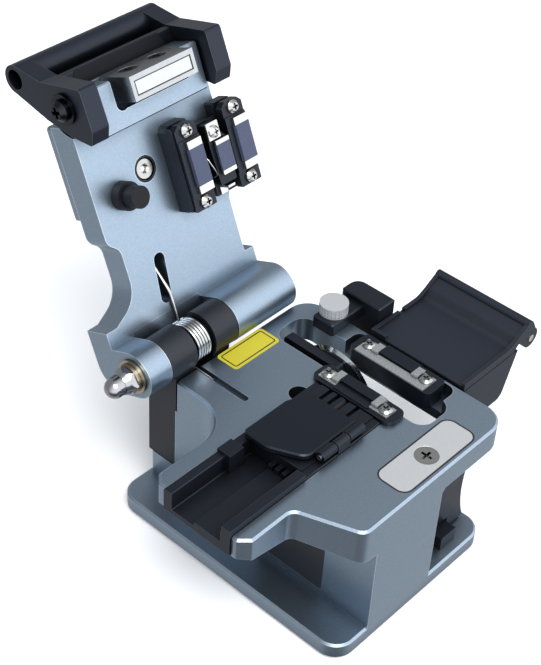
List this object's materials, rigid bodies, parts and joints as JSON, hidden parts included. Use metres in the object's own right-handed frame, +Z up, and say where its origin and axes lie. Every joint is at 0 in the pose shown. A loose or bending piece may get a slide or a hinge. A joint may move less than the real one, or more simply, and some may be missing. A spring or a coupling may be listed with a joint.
{
  "type": "optical fibre cleaver",
  "caption": "Bench-top fibre cleaver with a hinged magnetic lid, lever handle, sprung clamp jaws, sliding round-blade carriage, slide-in fibre holder and a lidded scrap bin.",
  "frame": {"origin": "centre of the base's footprint, on the surface it stands on", "axes": "+Z up, +X towards the scrap bin, +Y towards the lid hinge, front edge of the base at -Y"},
  "size_m": [0.0933, 0.1048, 0.0967],
  "materials": {
    "anodised": "bead-blasted, anodised",
    "steel": "satin",
    "chrome": "polished",
    "magnet": "ground",
    "dark": "black oxide",
    "black_metal": "black anodised",
    "black_plastic": "matte",
    "rubber": "matte",
    "pad": "matte"
  },
  "bodies": {
    "base": {"body_frame": "anodised", "hinge_post": "anodised", "base_pad": "rubber", "left_anvil_pad": "pad", "right_anvil_pad": "pad", "strike_plate": "steel", "strike_plate_screw": "steel", "hinge_shaft": "steel", "acorn_nut": "chrome", "hinge_washers": "steel", "torsion_spring": "steel", "left_anvil_clips": "steel", "right_anvil_clips": "steel", "slide_rail": "steel", "holder_pin": "steel", "bin_pin": "steel", "left_anvil_screws": "steel", "right_anvil_screws": "steel", "post_screws": "dark", "rail_screws": "steel", "holder_screws": "steel", "left_anvil_block": "black_metal", "right_anvil_block": "black_metal", "holder_tray": "black_metal", "bin_bracket": "black_metal", "bin_body": "black_plastic"},
    "lid": {"lid_plate": "anodised", "lid_cover": "anodised", "lid_hex_screw": "steel", "lid_bumper": "rubber", "magnet_holder": "steel", "magnet": "magnet", "magnet_screws": "steel", "clamp_base": "black_metal", "clamp_screws": "steel", "clamp_springs": "rubber", "bend_anvil_fittings": "steel", "handle_screws": "steel", "handle_washers": "dark"},
    "left_clamp": {"left_clamp_jaw": "black_metal", "left_clamp_pad": "pad", "left_clamp_keepers": "steel"},
    "right_clamp": {"right_clamp_jaw": "black_metal", "right_clamp_pad": "pad", "right_clamp_keepers": "steel"},
    "lid_anvil": {"bend_anvil": "black_metal", "bend_anvil_pad": "pad"},
    "handle": {"lift_handle": "black_metal"},
    "carriage": {"carriage": "black_plastic", "carriage_screws": "dark", "slide_bearing": "steel", "blade_mount": "black_metal", "blade_mount_screws": "steel"},
    "cutter": {"blade": "steel", "blade_arbor": "steel", "blade_nut": "steel"},
    "clip": {"holder_clip": "black_metal", "holder_clip_pad": "rubber"},
    "bin_cover": {"bin_lid": "black_plastic"},
    "thumb": {"thumb_screw": "steel"}
  },
  "joints": [
    {"name": "lid_hinge", "type": "hinge", "parent": "base", "child": "lid", "pos_m": [0, 0.0285, 0.0402], "axis": [1, 0, 0], "range_deg": [0, 113.3], "stiffness_Nm_per_rad": 0.02, "springref_deg": -22.92, "deforming": ["torsion_spring"]},
    {"name": "left_clamp_press", "type": "slide", "parent": "lid", "child": "left_clamp", "axis": [0, 0.9184, -0.3955], "range_m": [0, 0.0006], "stiffness_N_per_m": 1500, "springref_m": -0.0008, "deforming": ["clamp_springs"]},
    {"name": "right_clamp_press", "type": "slide", "parent": "lid", "child": "right_clamp", "axis": [0, 0.9184, -0.3955], "range_m": [0, 0.0006], "stiffness_N_per_m": 1500, "springref_m": -0.0008, "deforming": ["clamp_springs"]},
    {"name": "lid_anvil_press", "type": "slide", "parent": "lid", "child": "lid_anvil", "axis": [0, 0.9184, -0.3955], "range_m": [0, 0.0005], "stiffness_N_per_m": 800, "springref_m": -0.0008},
    {"name": "handle_pivot", "type": "hinge", "parent": "lid", "child": "handle", "pos_m": [0, 0.05406, 0.09071], "axis": [1, 0, 0], "range_deg": [-6, 12]},
    {"name": "carriage_slide", "type": "slide", "parent": "base", "child": "carriage", "axis": [0, -1, 0], "range_m": [0, 0.016]},
    {"name": "blade_turn", "type": "hinge", "parent": "carriage", "child": "cutter", "pos_m": [0.0151, 0.0051, 0.0279], "axis": [1, 0, 0], "continuous": true},
    {"name": "clip_hinge", "type": "hinge", "parent": "base", "child": "clip", "pos_m": [-0.006, -0.0136, 0.0384], "axis": [-1, 0, 0], "range_deg": [-110, 0]},
    {"name": "bin_lid_hinge", "type": "hinge", "parent": "base", "child": "bin_cover", "pos_m": [0.0512, -0.0074, 0.0363], "axis": [0, 1, 0], "range_deg": [0, 100]},
    {"name": "thumb_screw_turn", "type": "hinge", "parent": "base", "child": "thumb", "pos_m": [0.0234, 0.014, 0.039], "axis": [0, 0, 1], "continuous": true}
  ]
}
